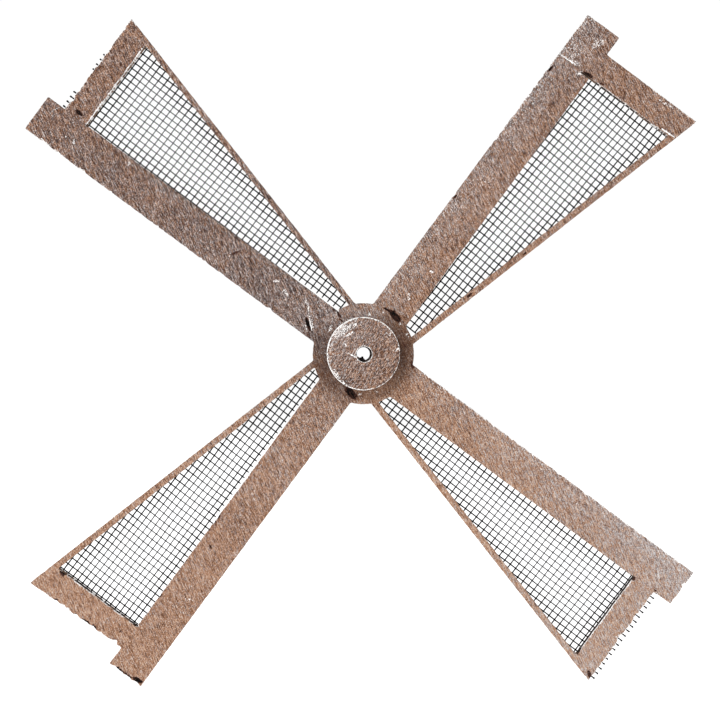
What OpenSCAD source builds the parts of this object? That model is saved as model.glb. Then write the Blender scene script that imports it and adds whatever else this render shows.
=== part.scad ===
// Decorative four-sail windmill rotor: one sawn plywood cross with a window in each sail,
// welded wire mesh stapled behind the windows, a boss disc on the front and an axle sleeve.
// The rotor stands in the XZ plane, faces -Y and turns about Y. The origin is on the axle,
// in the plane that the sleeve's flange seats on.
// Lists of four hold one value per sail: upper left, upper right, lower right, lower left,
// because each sail was sawn by hand and comes out a little different.

/* [Plywood cross] */
// Thickness of the plywood
board_t = 10; // [6:0.5:18]
// Direction of the upper right spar above the horizontal
spar_angle = 53.5; // [45:0.5:60]
// Distance from the axle to the end of each spar
spar_reach = [404.5, 404.5, 394.5, 398.5]; // [390:0.5:430]
// Distance from the spar's centre line to its plain edge
spar_back = [20.3, 21.6, 20.5, 19]; // [15:0.1:24]
// Distance from the spar's centre line to its window edge
spar_front = [19.2, 18.1, 18.7, 20]; // [15:0.1:21]
// Distance from the axle to the outer edge of each end bar, at the spar
bar_outer = [384, 383.5, 374, 379]; // [360:0.5:388]
// How much farther out each end bar's outer corner is than that
bar_flare = [0, -0.5, 0.5, 2]; // [-3:0.5:3]
// Distance from the axle to the window edge of each end bar
bar_inner = [357, 355, 348.5, 352.5]; // [330:0.5:358]
// Angle at which the hem rail opens away from the spar
hem_angle = 15.4; // [12:0.1:18]
// Distance from the axle to the line of the hem rail's outer edge
hem_outer = [24.3, 23.3, 24.7, 25.5]; // [22:0.1:28]
// Distance from the axle to the line of the hem rail's window edge
hem_inner = [18.5, 16.5, 17.9, 18.9]; // [14:0.1:20]
// Diameter of the hub ring that the four spars run into
ring_d = 101; // [92:1:120]
// Width of the saw cut
kerf_w = 1.5; // [1:0.1:2]
// How far the saw ran past the inner corner of each window
overcut = [2, 11, 1.5, 1.5]; // [1:0.5:12]

/* [Boss disc] */
// Diameter of the disc
disc_d = 72.5; // [60:0.5:85]
// Thickness of the disc
disc_t = 12; // [6:0.5:18]
// Diameter of the hole drilled through the disc
disc_hole_d = 15.5; // [15.5:0.1:20]
// How far the disc's hole was drilled off centre, across and up
disc_hole_shift = [0.8, -0.6]; // [-0.8:0.1:0.8]
// Number of brads that pin the disc to the cross
brad_count = 3; // [2:1:6]
// Radius of the circle that the brads stand on
brad_circle_r = 32; // [20:0.5:33]
// Direction of the first brad
brad_angle = 239; // [0:1:360]
// Length of a brad
brad_l = 18; // [14:1:20]

/* [Axle sleeve] */
// Bore of the sleeve
sleeve_bore_d = 13; // [10:0.5:13]
// Outer diameter of the sleeve, the rotor's running surface
sleeve_d = 15; // [14.5:0.1:15]
// Diameter of the flange that seats on the machine
flange_d = 28; // [20:1:40]
// Thickness of the flange
flange_t = 3; // [3:0.5:6]
// Radial running clearance between the sleeve and the cross
running_clearance = 0.05; // [0.01:0.01:0.1]
// End play between the flange and the back of the cross
end_play = 0.2; // [0.1:0.1:0.5]

/* [Wire mesh] */
// Diameter of the wire
wire_d = 1; // [0.6:0.1:1.2]
// Spacing of each panel's line wires, which run along the spar
line_pitch = [5.94, 5.9, 5.85, 5.87]; // [5.5:0.01:6.5]
// Spacing of each panel's cross wires
cross_pitch = [7.07, 7.05, 6.93, 6.97]; // [6.5:0.01:7.5]
// Depth that the two layers sink into each other at the welds
weld_sink = 0.1; // [0.05:0.05:0.15]
// Distance along the spar from the axle to each panel's first cross wire
mesh_start = [45.7, 48.2, 43, 45.4]; // [40:0.5:60]
// Distance from the spar's centre line to each panel's first line wire
mesh_edge = [18.5, 17, 22, 24]; // [15:0.1:26]
// Angle by which each panel was laid askew
mesh_tilt = [0.4, 1.8, 0.4, 0.1]; // [0.1:0.1:3]
// How far the line wires run inwards past the first cross wire
inner_stub = [0.5, 0.5, 8, 3.5]; // [0.5:0.5:10]
// How far from the first cross wire each panel is cut back along the spar
cut_back_run = [72, 0, 0, 180]; // [0:1:300]
// How far the line wires run out past the end bar
outer_tail = [5.4, -1.5, 6, -1.5]; // [-3:0.1:7]
// How far inside the hem rail's outer edge the wires are cut off
hem_cover = 1.5; // [1:0.1:3]

/* [Staples] */
// Length of a staple's crown
crown_l = 10; // [9:0.5:11]
// Width of the staple wire
staple_w = 1.2; // [0.8:0.1:1.4]
// Thickness of the staple wire
staple_t = 0.6; // [0.4:0.1:0.7]
// Length of a staple's legs
leg_l = 6; // [4:0.5:8]
// Number of staples along each hem rail
hem_staples = 7; // [3:1:9]
// Number of staples along each end bar
bar_staples = 4; // [2:1:5]

/* [Hidden] */
SAILS = ["upper_left", "upper_right", "lower_right", "lower_left"];
board_back = flange_t + end_play;
board_front = board_back + board_t;
disc_front = board_front + disc_t;
sleeve_l = board_front - 0.3;
line_height = board_back - wire_d / 2;
cross_height = line_height - wire_d + weld_sink;
crown_height = cross_height - wire_d / 2 - staple_t;
brad_head_r = 1.1;
brad_head_t = 0.8;
brad_shank_r = 0.6;
brad_sink = 0.5;
shortest_wire = 4;
wood = [0.62, 0.50, 0.44];
worn_wood = [0.68, 0.60, 0.56];
wire_grey = [0.20, 0.20, 0.21];
bright_steel = [0.62, 0.63, 0.65];

// Places things on the vertical plane: drawn x, y and z become across, up and forwards.
module upright() {
    rotate([90, 0, 0])
        children();
}

// Places things on sail i: drawn x runs out along the spar and y runs across its window.
module on_sail(i) {
    upright()
        on_outline(i)
            children();
}

// The same on a flat outline.
module on_outline(i) {
    rotate([0, 0, spar_angle + 90 * (1 - i)])
        mirror([0, 1, 0])
            children();
}

// Height of the hem rail's line at distance u along the spar.
function hem_v(line, u) = (line + u * sin(hem_angle)) / cos(hem_angle);

// An outline raised between two distances from the seat.
module slab(from, to) {
    translate([0, 0, from])
        linear_extrude(height = to - from)
            children();
}

module spar_outline(i) {
    polygon([
        [0, -spar_back[i]],
        [spar_reach[i], -spar_back[i]],
        [spar_reach[i], spar_front[i]],
        [0, spar_front[i]]
    ]);
}

module sail_outline(i) {
    corner = bar_outer[i] + bar_flare[i];
    polygon([
        [0, 0],
        [bar_outer[i], 0],
        [bar_outer[i], spar_front[i]],
        [corner, hem_v(hem_outer[i], corner)],
        [0, hem_v(hem_outer[i], 0)]
    ]);
}

module window_outline(i) {
    start = ring_d / 4;
    polygon([
        [start, spar_front[i]],
        [bar_inner[i], spar_front[i]],
        [bar_inner[i], hem_v(hem_inner[i], bar_inner[i])],
        [start, hem_v(hem_inner[i], start)]
    ]);
}

// The slot left where the saw ran past the window's inner corner into the spar.
module overcut_outline(i) {
    translate([bar_inner[i] - kerf_w, spar_front[i] - overcut[i]])
        square([kerf_w, overcut[i] + 1]);
}

module cross_outline() {
    difference() {
        union() {
            difference() {
                for (i = [0 : 3])
                    on_outline(i) {
                        sail_outline(i);
                        spar_outline(i);
                    }
                for (i = [0 : 3])
                    on_outline(i) {
                        window_outline(i);
                        overcut_outline(i);
                    }
            }
            circle(d = ring_d, $fn = 120);
        }
        circle(d = sleeve_d + 2 * running_clearance, $fn = 60);
    }
}

module sail_cross() {
    color(wood)
        upright()
            slab(board_back, board_front)
                cross_outline();
}

module hub_disc() {
    color(worn_wood)
        upright()
            difference() {
                slab(board_front, disc_front)
                    circle(d = disc_d, $fn = 120);
                translate(disc_hole_shift)
                    slab(board_front - 1, disc_front + 1)
                        circle(d = disc_hole_d, $fn = 60);
            }
}

module brad() {
    translate([0, 0, disc_front - brad_sink - brad_l])
        cylinder(h = brad_l, r = brad_shank_r, $fn = 16);
    translate([0, 0, disc_front - brad_sink - brad_head_t])
        cylinder(h = brad_head_t, r = brad_head_r, $fn = 20);
}

module hub_disc_brads() {
    color(bright_steel)
        upright()
            for (n = [0 : brad_count - 1])
                rotate([0, 0, brad_angle + 360 * n / brad_count])
                    translate([brad_circle_r, 0, 0])
                        brad();
}

module axle_sleeve() {
    color(bright_steel)
        upright()
            difference() {
                union() {
                    cylinder(h = flange_t, d = flange_d, $fn = 60);
                    cylinder(h = sleeve_l, d = sleeve_d, $fn = 60);
                }
                translate([0, 0, -1])
                    cylinder(h = sleeve_l + 2, d = sleeve_bore_d, $fn = 60);
            }
}

// The mesh is drawn in its own frame: p runs along the line wires, q across them, from the
// crossing of the first cross wire and the first line wire.
module on_mesh(i) {
    on_sail(i)
        translate([mesh_start[i], mesh_edge[i], 0])
            rotate([0, 0, mesh_tilt[i]])
                children();
}

function skew(i) = hem_angle - mesh_tilt[i];

// How far the hem rail's cover reaches beyond the mesh's own origin.
function hem_room(i) = hem_outer[i] - hem_cover
    - (mesh_edge[i] * cos(hem_angle) - mesh_start[i] * sin(hem_angle));

// Where line wire q comes out from under the hem rail's outer edge.
function p_at_hem(i, q) = (q * cos(skew(i)) - hem_room(i)) / sin(skew(i));

// Where cross wire p runs in under the hem rail's outer edge.
function q_at_hem(i, p) = (hem_room(i) + p * sin(skew(i))) / cos(skew(i));

// Where cross wire p reaches height v above the spar's centre line.
function q_at_spar(i, p, v) = (v - mesh_edge[i] - p * sin(mesh_tilt[i])) / cos(mesh_tilt[i]);

// Where line wire q reaches height v above the spar's centre line.
function p_at_spar(i, q, v) = (v - mesh_edge[i] - q * cos(mesh_tilt[i])) / sin(mesh_tilt[i]);

// Where line wire q reaches distance u along the spar.
function p_at_reach(i, q, u) = (u - mesh_start[i] + q * sin(mesh_tilt[i])) / cos(mesh_tilt[i]);

// The upper left panel was trimmed unevenly: only two groups of its wires stand out.
function trimmed_tail(i, k) = i > 0 ? outer_tail[i]
    : k <= 3 ? outer_tail[i]
    : k >= 8 && k <= 11 ? outer_tail[i] - 1.2
    : -1;

// Height that cross wire p is cut off at: short of the spar where the panel is cut back.
function low_edge(i, p) = spar_front[i] + (p < cut_back_run[i] ? 1.4 : -2.5);

module line_wires(i) {
    rows = ceil(q_at_hem(i, bar_outer[i]) / line_pitch[i]);
    color(wire_grey)
        on_mesh(i)
            for (k = [-2 : rows]) {
                q = k * line_pitch[i];
                from_spar = k > 0 ? 0 : max(0, p_at_spar(i, q, low_edge(i, cut_back_run[i]) + 1));
                from = max(from_spar - inner_stub[i], p_at_hem(i, q));
                to = p_at_reach(i, q, bar_outer[i] + trimmed_tail(i, k));
                if (to - from > shortest_wire)
                    translate([from, q, line_height])
                        rotate([0, 90, 0])
                            cylinder(h = to - from, d = wire_d, $fn = 16);
            }
}

module cross_wires(i) {
    last = floor(p_at_reach(i, 0, bar_outer[i] - 3) / cross_pitch[i]);
    color(wire_grey)
        on_mesh(i)
            for (j = [0 : last]) {
                p = j * cross_pitch[i];
                from = q_at_spar(i, p, low_edge(i, p));
                to = q_at_hem(i, p);
                if (to - from > shortest_wire)
                    translate([p, from, cross_height])
                        rotate([-90, 0, 0])
                            cylinder(h = to - from, d = wire_d, $fn = 16);
            }
}

// A staple laid along the line wires, astride one cross wire, at the middle of its crown.
module staple() {
    translate([-crown_l / 2, -staple_w / 2, crown_height])
        cube([crown_l, staple_w, staple_t]);
    for (side = [0, 1])
        translate([-crown_l / 2 + side * (crown_l - staple_t), -staple_w / 2, crown_height])
            cube([staple_t, staple_w, leg_l]);
}

// A staple in the mesh cell nearest to p and q.
module staple_near(i, p, q) {
    translate([
        round(p / cross_pitch[i]) * cross_pitch[i],
        (round(q / line_pitch[i] - 0.5) + 0.5) * line_pitch[i],
        0
    ])
        staple();
}

module staples(i) {
    bar_middle = (bar_outer[i] + bar_inner[i]) / 2;
    bar_span = hem_v(hem_inner[i], bar_middle) - spar_front[i];
    rail_middle = (hem_outer[i] - hem_inner[i]) / 2 - hem_cover;
    rail_from = q_at_hem(i, 0);
    rail_step = (q_at_hem(i, bar_inner[i] - mesh_start[i]) - rail_from) / hem_staples;
    color(bright_steel)
        on_mesh(i) {
            for (n = [0 : bar_staples - 1]) {
                q = bar_span * (n + 0.5) / bar_staples;
                staple_near(i, p_at_reach(i, q, bar_middle), q);
            }
            for (n = [0 : hem_staples - 1]) {
                row = round((rail_from + (n + 0.5) * rail_step) / line_pitch[i] - 0.5);
                q = (row + 0.5) * line_pitch[i];
                staple_near(i, p_at_hem(i, q) + rail_middle / sin(skew(i)), q);
            }
        }
}

module sail(i) {
    line_wires(i);
    cross_wires(i);
    staples(i);
}

sail_cross();
hub_disc();
hub_disc_brads();
axle_sleeve();
for (i = [0 : 3]) sail(i);
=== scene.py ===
import math
from collections import namedtuple

import bpy
import numpy as np
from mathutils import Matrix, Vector, noise
from mathutils.geometry import delaunay_2d_cdt
from mathutils.kdtree import KDTree


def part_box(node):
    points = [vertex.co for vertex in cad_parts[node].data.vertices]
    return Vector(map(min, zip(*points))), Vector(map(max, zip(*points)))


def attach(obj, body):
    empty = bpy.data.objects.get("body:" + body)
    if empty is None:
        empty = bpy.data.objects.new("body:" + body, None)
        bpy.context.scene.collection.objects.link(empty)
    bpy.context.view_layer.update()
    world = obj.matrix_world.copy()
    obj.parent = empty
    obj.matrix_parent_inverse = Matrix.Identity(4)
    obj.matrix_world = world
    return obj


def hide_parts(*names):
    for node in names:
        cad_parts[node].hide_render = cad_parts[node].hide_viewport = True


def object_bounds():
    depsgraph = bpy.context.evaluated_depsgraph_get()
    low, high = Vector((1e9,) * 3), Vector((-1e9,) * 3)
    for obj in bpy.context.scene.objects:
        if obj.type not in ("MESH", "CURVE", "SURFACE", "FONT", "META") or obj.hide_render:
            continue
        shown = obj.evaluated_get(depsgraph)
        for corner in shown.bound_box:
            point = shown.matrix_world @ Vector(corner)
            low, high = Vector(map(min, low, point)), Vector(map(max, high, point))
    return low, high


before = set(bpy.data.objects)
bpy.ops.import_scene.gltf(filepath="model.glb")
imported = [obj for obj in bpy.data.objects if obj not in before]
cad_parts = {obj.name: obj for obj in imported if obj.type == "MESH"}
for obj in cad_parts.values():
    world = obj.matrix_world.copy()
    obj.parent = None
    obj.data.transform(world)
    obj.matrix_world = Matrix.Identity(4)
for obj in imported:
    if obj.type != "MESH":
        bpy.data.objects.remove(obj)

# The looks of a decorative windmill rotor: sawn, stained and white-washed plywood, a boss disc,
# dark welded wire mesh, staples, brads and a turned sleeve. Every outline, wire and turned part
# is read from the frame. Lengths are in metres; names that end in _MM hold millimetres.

cad_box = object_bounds()

MM = 0.001
SAME_PLACE = 0.001 * MM
SAILS = ("upper_left", "upper_right", "lower_right", "lower_left")
UPPER_LEFT, UPPER_RIGHT, LOWER_RIGHT, LOWER_LEFT = range(4)
SAIL_TURN = math.radians(53.5)
BOARD_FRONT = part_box("sail_cross")[0].y
BOARD_GRAIN = math.radians(114)
DISC_GRAIN = math.radians(58)
PLY_COUNT = 5

# Round sizes of the sails' hem and window, the hub, the disc and its hole, which place the tones
# of the wash. Within the hub's reach, arcs are round about the axle.
HEM_SLOPE = math.tan(math.radians(15.4))
HEM_START = 17 * MM
WINDOW_V = 19 * MM
HUB_REACH = 60 * MM
DISC_R = 36 * MM
HOLE_R = 12 * MM


# ---------------- reading the frame

def merged(node):
    """Places and faces of a CAD node, with the vertices that lie at one place joined."""
    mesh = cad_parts[node].data
    places = np.array([vertex.co for vertex in mesh.vertices])
    keys, first, index = np.unique(
        np.round(places / SAME_PLACE).astype(np.int64), axis=0, return_index=True, return_inverse=True
    )
    index = index.ravel()
    faces = [tuple(index[v] for v in polygon.vertices) for polygon in mesh.polygons]
    return places[first], faces


def front_loops(node):
    """The closed outlines of a slab's front face, as (n, 2) arrays of x and z, wood on the left."""
    places, faces = merged(node)
    front = places[:, 1].min()
    on_front = np.abs(places[:, 1] - front) < SAME_PLACE
    edges = set()
    for face in faces:
        if all(on_front[v] for v in face):
            edges.update(zip(face, face[1:] + face[:1]))
    after = {a: b for a, b in edges if (b, a) not in edges}
    loops = []
    while after:
        start, here = after.popitem()
        chain = [start]
        while here != start:
            chain.append(here)
            here = after.pop(here)
        loops.append(places[chain][:, [0, 2]])
    return sorted(loops, key=len)


def islands(node):
    """The separate solids of a CAD node, as arrays of their vertices."""
    places, faces = merged(node)
    group = list(range(len(places)))

    def root(v):
        while group[v] != v:
            group[v] = group[group[v]]
            v = group[v]
        return v

    for face in faces:
        for v in face[1:]:
            group[root(v)] = root(face[0])
    roots = np.array([root(v) for v in range(len(places))])
    return [places[roots == r] for r in sorted(set(roots))]


def rod_ends(points):
    """The two end centres of a straight rod and its radius."""
    centre = points.mean(0)
    axis = np.linalg.svd(points - centre)[2][0]
    along = (points - centre) @ axis
    half = np.ptp(along) / 2
    middle = centre + axis * (along.max() + along.min()) / 2
    radius = np.linalg.norm(points - middle - np.outer((points - middle) @ axis, axis), axis=1).max()
    return middle - axis * half, middle + axis * half, radius


# ---------------- making meshes

def new_piece(name, verts, faces, material, body, replaces, smooth=True):
    """A visible piece that rides a body and stands for the CAD nodes that it replaces."""
    mesh = bpy.data.meshes.new(name)
    mesh.from_pydata([tuple(v) for v in verts], [], [tuple(f) for f in faces])
    mesh.validate()
    mesh.update()
    mesh.polygons.foreach_set("use_smooth", [smooth] * len(mesh.polygons))
    piece = bpy.data.objects.new(name, mesh)
    bpy.context.collection.objects.link(piece)
    mesh.materials.append(material)
    if replaces:
        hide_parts(*replaces)
    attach(piece, body)
    return piece


def add_values(piece, name, values):
    """One number for each vertex, for the material to read."""
    layer = piece.data.attributes.new(name, "FLOAT", "POINT")
    layer.data.foreach_set("value", np.asarray(values, np.float32))


def fractal(points, size, seed, octaves=3):
    """Fractal noise between about -1 and 1 at (n, 2) points, with features of the given size."""
    return np.array([
        noise.fractal(Vector((x / size, z / size, seed)), 0.6, 2.1, octaves) for x, z in points
    ])


LONGEST_CHORD = 12 * MM
ARC_ERROR = 0.02 * MM


def resampled(loop, step):
    """A closed outline with evenly spaced points on each side, round where the outline is round."""
    centre = loop.mean(0)
    reaches = np.hypot(*(loop - centre).T)
    round_hole = np.ptp(reaches) < 0.02 * reaches.mean()
    hub = centre if round_hole else np.zeros(2)
    points = []
    for a, b in zip(loop, np.roll(loop, -1, 0)):
        side = np.hypot(*(b - a))
        count = max(1, round(float(side) / step))
        stretch = a + (b - a) * np.arange(count)[:, None] / count
        reach_a, reach_b = np.hypot(*(a - hub)), np.hypot(*(b - hub))
        on_arc = abs(reach_a - reach_b) < ARC_ERROR and (round_hole or reach_a < HUB_REACH)
        if on_arc and side < LONGEST_CHORD:
            away = stretch - hub
            stretch = hub + away / np.hypot(*away.T)[:, None] * reach_a
        points.append(stretch)
    return np.concatenate(points)


def inward(points):
    """Unit normals into the wood along a closed outline."""
    along = np.roll(points, -1, 0) - np.roll(points, 1, 0)
    normal = np.c_[-along[:, 1], along[:, 0]]
    return normal / np.hypot(*normal.T)[:, None]


def inside(points, loops):
    """Even-odd test of (n, 2) points against closed outlines."""
    odd = np.zeros(len(points), bool)
    for loop in loops:
        a, b = loop, np.roll(loop, -1, 0)
        for (ax, az), (bx, bz) in zip(a, b):
            if az != bz:
                crosses = (az > points[:, 1]) != (bz > points[:, 1])
                odd ^= crosses & (points[:, 0] < ax + (bx - ax) * (points[:, 1] - az) / (bz - az))
    return odd


def distances(points, tree):
    """Distance from each point to the nearest one in a tree."""
    return np.array([tree.find((x, z, 0))[2] for x, z in points])


def tree_of(points):
    tree = KDTree(len(points))
    for n, (x, z) in enumerate(points):
        tree.insert((x, z, 0), n)
    tree.balance()
    return tree


def hex_grid(low, high, step):
    """Points in staggered rows over a rectangle."""
    xs = np.arange(low[0], high[0], step)
    zs = np.arange(low[1], high[1], step * math.sqrt(0.75))
    x, z = np.meshgrid(xs, zs)
    x = x + (np.arange(len(zs)) % 2)[:, None] * step / 2
    return np.c_[x.ravel(), z.ravel()]


# ---------------- marks in the wood

def on_sail(i, u, v):
    """Where distance u along sail i's spar and v across its window lies, in millimetres."""
    a = SAIL_TURN + math.pi / 2 * (1 - i)
    return u * math.cos(a) + v * math.sin(a), u * math.sin(a) - v * math.cos(a)


# Knots and gouges on the hub: across, up, direction in degrees, length, width, depth, darkness.
HUB_GOUGES_MM = [
    (24, 43.5, 150, 8, 2.2, 0.8, 1.0),
    (31.5, 37.5, 133, 16, 6.5, 1.7, 1.0),
    (41, 8.5, 128, 8, 1.6, 0.5, 0.65),
    (-12, -39.5, 134, 16, 7, 1.6, 1.0),
    (-55, 29.5, 108, 14, 3.4, 1.5, 1.2),
    (-24.5, 39.5, 126, 9, 2.0, 0.7, 1.0),
    (-29, 44.5, 100, 5, 1.4, 0.5, 0.9),
    (-22, 33, 140, 5, 1.4, 0.4, 0.8),
    (-16, 54, 120, 6, 1.6, 0.4, 0.6),
    (-44, -12, 110, 9, 1.6, 0.3, 0.4),
]

# The same on the sails: sail, u, v, direction from the spar in degrees, length, width, depth, darkness.
SAIL_GOUGES_MM = [
    (UPPER_LEFT, 370, 24.5, 4, 9, 4.0, 1.4, 1.0),
    (UPPER_LEFT, 162, 5, -60, 10, 2.0, 0.6, 0.7),
    (UPPER_LEFT, 333, -17, -60, 4, 1.6, 0.6, 0.6),
    (UPPER_RIGHT, 339, -19, 5, 6, 3.0, 1.0, 0.9),
    (UPPER_RIGHT, 180, -19.5, 10, 5, 2.2, 0.8, 0.7),
    (UPPER_RIGHT, 356, 14.5, 82, 12, 4.2, 1.6, 1.0),
    (UPPER_RIGHT, 357, 31, 75, 6, 2.2, 0.7, 0.75),
    (UPPER_RIGHT, 110, 50.5, 10, 7, 2.6, 0.7, 0.8),
    (UPPER_RIGHT, 176, 70, 12, 5, 2.2, 0.6, 0.7),
    (LOWER_RIGHT, 371, 123, 40, 9, 4, 0.7, 0.62),
    (LOWER_RIGHT, 374, 16.5, 5, 4, 1.6, 0.5, 0.7),
    (LOWER_RIGHT, 46, -20, 40, 10, 3.5, 0.7, 0.6),
    (LOWER_LEFT, 395, -12.5, 84, 10, 5.0, 2.0, 1.0),
    (LOWER_LEFT, 397, -3, 84, 8, 2.4, 0.8, 0.75),
    (LOWER_LEFT, 353, 110, 84, 10, 1.2, 0.5, 1.2),
    (LOWER_LEFT, 352.6, 22, 84, 4, 1.6, 0.6, 1.0),
    (LOWER_LEFT, 245, 8, -60, 6, 2.2, 0.6, 0.6),
    (LOWER_LEFT, 366, 30, 0, 4, 2.0, 0.4, 0.55),
    (LOWER_RIGHT, 348.8, 20, 84, 4, 1.6, 0.6, 1.0),
    (LOWER_RIGHT, 348.8, 110, 84, 10, 1.2, 0.5, 1.2),
]

# Bare white scratches and rubbed primer: sail, u, v, direction, length, width, strength.
SAIL_SCRATCHES_MM = [
    (UPPER_RIGHT, 356.5, -10, 88, 22, 1.5, 1.0),
    (UPPER_RIGHT, 358, -2, 80, 12, 5, 0.5),
    (UPPER_RIGHT, 352, 7, 40, 9, 3, 0.7),
    (UPPER_RIGHT, 366, -8, 10, 18, 9, 0.36),
    (UPPER_RIGHT, 386, 4, 20, 16, 8, 0.4),
    (UPPER_RIGHT, 357, 112, 88, 18, 1.4, 1.0),
    (UPPER_RIGHT, 379, 94, 84, 20, 3, 0.5),
    (UPPER_LEFT, 391, 13, 105, 11, 0.8, 0.6),
    (UPPER_LEFT, 357, -2, 60, 6, 2.4, 0.6),
    (UPPER_LEFT, 366, -3, 40, 3, 1.2, 0.65),
    (UPPER_LEFT, 98, 3, 20, 9, 3, 0.6),
    (UPPER_LEFT, 112, 7, -40, 7, 3, 0.6),
    (UPPER_LEFT, 74, 6, 35, 12, 3, 0.5),
    (UPPER_LEFT, 60, -6, 40, 14, 3.5, 0.6),
    (UPPER_LEFT, 300, 12, 60, 8, 3, 0.4),
    (UPPER_RIGHT, 72, 3, -50, 8, 3, 0.5),
    (UPPER_RIGHT, 106, 6, 80, 5, 2.2, 0.7),
    (LOWER_RIGHT, 368, 3, 20, 6, 2.2, 0.7),
    (LOWER_RIGHT, 372, 76, 70, 6, 4.5, 0.7),
    (LOWER_LEFT, 300, -6, 70, 9, 1.8, 0.5),
    (LOWER_LEFT, 180, 3, -60, 9, 2.2, 0.4),
]

# The same on the hub, by across and up.
HUB_SCRATCHES_MM = [
    (-52.6, 28, 108, 12, 1.2, 0.9),
    (-57, 26, 108, 8, 1.2, 0.75),
    (-54.5, 44, 95, 10, 1.0, 0.9),
    (-33, 25, 66, 8, 2.6, 0.7),
    (-26, 42, 60, 6, 3.0, 0.7),
    (6, 39.5, 60, 4, 2.0, 0.9),
    (36, 31, 125, 5, 1.8, 0.6),
    (44, 18, 120, 5, 2.4, 0.6),
    (13.5, -38, 60, 4, 2.4, 0.6),
    (-3, -40, 30, 4, 2.6, 0.5),
    (20, 42, 60, 5, 2.0, 0.6),
]

# Scratches on the boss disc, by across and up.
DISC_SCRATCHES_MM = [
    (-10.5, -1.8, -27, 9.5, 1.3, 1.0),
    (-18, 9, -48, 6.5, 1.2, 0.95),
    (34, 4.5, 38, 5.5, 1.2, 0.9),
    (-14, 19, 32, 11, 2.2, 0.75),
    (-22, 22, 45, 18, 9, 0.55),
    (-12, 27, 30, 16, 6, 0.5),
    (25, 20, 40, 14, 6, 0.3),
    (-27, -20, 125, 14, 4, 0.6),
    (-20, -29, 140, 9, 3, 0.7),
]

DISC_GOUGES_MM = [
    (-16.5, -27.4, 130, 3.0, 2.6, 0.5, 0.7),
    (-9, 24, 50, 7, 2.0, 0.35, 0.3),
    (-4, 17, 50, 5, 1.6, 0.3, 0.25),
]

# Bites out of the outline: sail, u, v, radius, depth.
BITES_MM = [
    (UPPER_LEFT, 333, -20.5, 4, 1.0),
    (UPPER_RIGHT, 339, -21.5, 4.5, 0.9),
    (UPPER_RIGHT, 182, -21.5, 4, 0.7),
    (LOWER_RIGHT, 374, 75, 6, 1.3),
    (LOWER_RIGHT, 374, 124, 5, 1.0),
    (LOWER_LEFT, 398, -13, 5, 1.4),
    (LOWER_LEFT, 379, 31, 5, 0.9),
]

# Stretches of edge that are chipped all along: sail, from u and v, to u and v, number of chips.
CHIPPED_MM = [
    (LOWER_LEFT, 379, 24, 380.5, 100, 26),
    (LOWER_LEFT, 398.5, -16, 398.5, 18, 10),
    (LOWER_RIGHT, 374, 24, 374.3, 118, 20),
    (LOWER_RIGHT, 394.5, -18, 394.5, 16, 8),
    (UPPER_LEFT, 80, -20.3, 400, -20.3, 34),
    (UPPER_LEFT, 384, 24, 384, 120, 14),
    (UPPER_RIGHT, 230, -21.6, 400, -21.6, 12),
    (LOWER_RIGHT, 90, -20.5, 390, -20.5, 16),
    (LOWER_LEFT, 200, 20, 350, 20, 8),
]


def chips(rows):
    """Small bites and dark gouges at random along the chipped stretches."""
    rng = np.random.default_rng(5)
    bites, gouges = [], []
    for sail, u0, v0, u1, v1, count in rows:
        lean = math.degrees(math.atan2(v1 - v0, u1 - u0))
        for share in rng.uniform(0, 1, count):
            u, v = u0 + (u1 - u0) * share, v0 + (v1 - v0) * share
            size = rng.uniform(1.4, 3.4)
            bites.append((sail, u, v, size, rng.uniform(0.3, 0.85)))
            if sail == LOWER_LEFT and rng.random() < 0.6:
                gouges.append((sail, u - 1, v, lean, size * 1.7, size * 1.3, 0.4, rng.uniform(0.7, 1.2)))
    return bites, gouges


def sail_marks(rows):
    """Marks given along a sail, turned into across, up and direction like the hub's own."""
    placed = []
    for sail, u, v, turn, *rest in rows:
        x, z = on_sail(sail, u, v)
        direction = math.degrees(SAIL_TURN) + 90 * (1 - sail) - turn
        placed.append((x, z, direction, *rest))
    return placed


CHIP_BITES, CHIP_GOUGES = chips(CHIPPED_MM)
BOARD_BITES = BITES_MM + CHIP_BITES
BOARD_GOUGES = HUB_GOUGES_MM + sail_marks(SAIL_GOUGES_MM + CHIP_GOUGES)
BOARD_SCRATCHES = HUB_SCRATCHES_MM + sail_marks(SAIL_SCRATCHES_MM)


def ellipse_reach(points, x, z, direction, length, width):
    """Squared distance of points from a mark's middle, where 1 is the mark's own rim."""
    a = math.radians(direction)
    dx, dz = points[:, 0] / MM - x, points[:, 1] / MM - z
    along = dx * math.cos(a) + dz * math.sin(a)
    across = dz * math.cos(a) - dx * math.sin(a)
    return (2 * along / length) ** 2 + (2 * across / width) ** 2


def pits(points, gouges):
    """Depth in metres and darkness of the gouges at each point."""
    depth, dark = np.zeros(len(points)), np.zeros(len(points))
    ragged = 0.5 * fractal(points, 2.6 * MM, 91, 3)
    for x, z, direction, length, width, deep, tint in gouges:
        reach = ellipse_reach(points, x, z, direction, length, width) + ragged
        inner = np.clip(1 - reach, 0, 1)
        depth = np.maximum(depth, deep * MM * inner ** 0.7)
        dark = np.maximum(dark, tint * np.clip(1.5 - reach, 0, 1))
    return depth, dark


def rubbed(points, scratches):
    """Whiteness of the scratches at each point."""
    white = np.zeros(len(points))
    ragged = 0.5 * fractal(points, 2.2 * MM, 93, 3)
    for x, z, direction, length, width, strength in scratches:
        reach = ellipse_reach(points, x, z, direction, length, width) + ragged
        white = np.maximum(white, strength * np.clip(1.6 - reach, 0, 1))
    return white


# ---------------- sawn and sanded wood

# How a slab was sawn: point spacings on outline, face and back, raggedness and arris radius.
Cut = namedtuple("Cut", "step face_step back_step ragged arris")
CROSS_CUT = Cut(1.35 * MM, 2.4 * MM, 5 * MM, 0.35 * MM, 0.75 * MM)
DISC_CUT = Cut(0.8 * MM, 1.3 * MM, 3 * MM, 0.18 * MM, 0.7 * MM)

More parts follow.
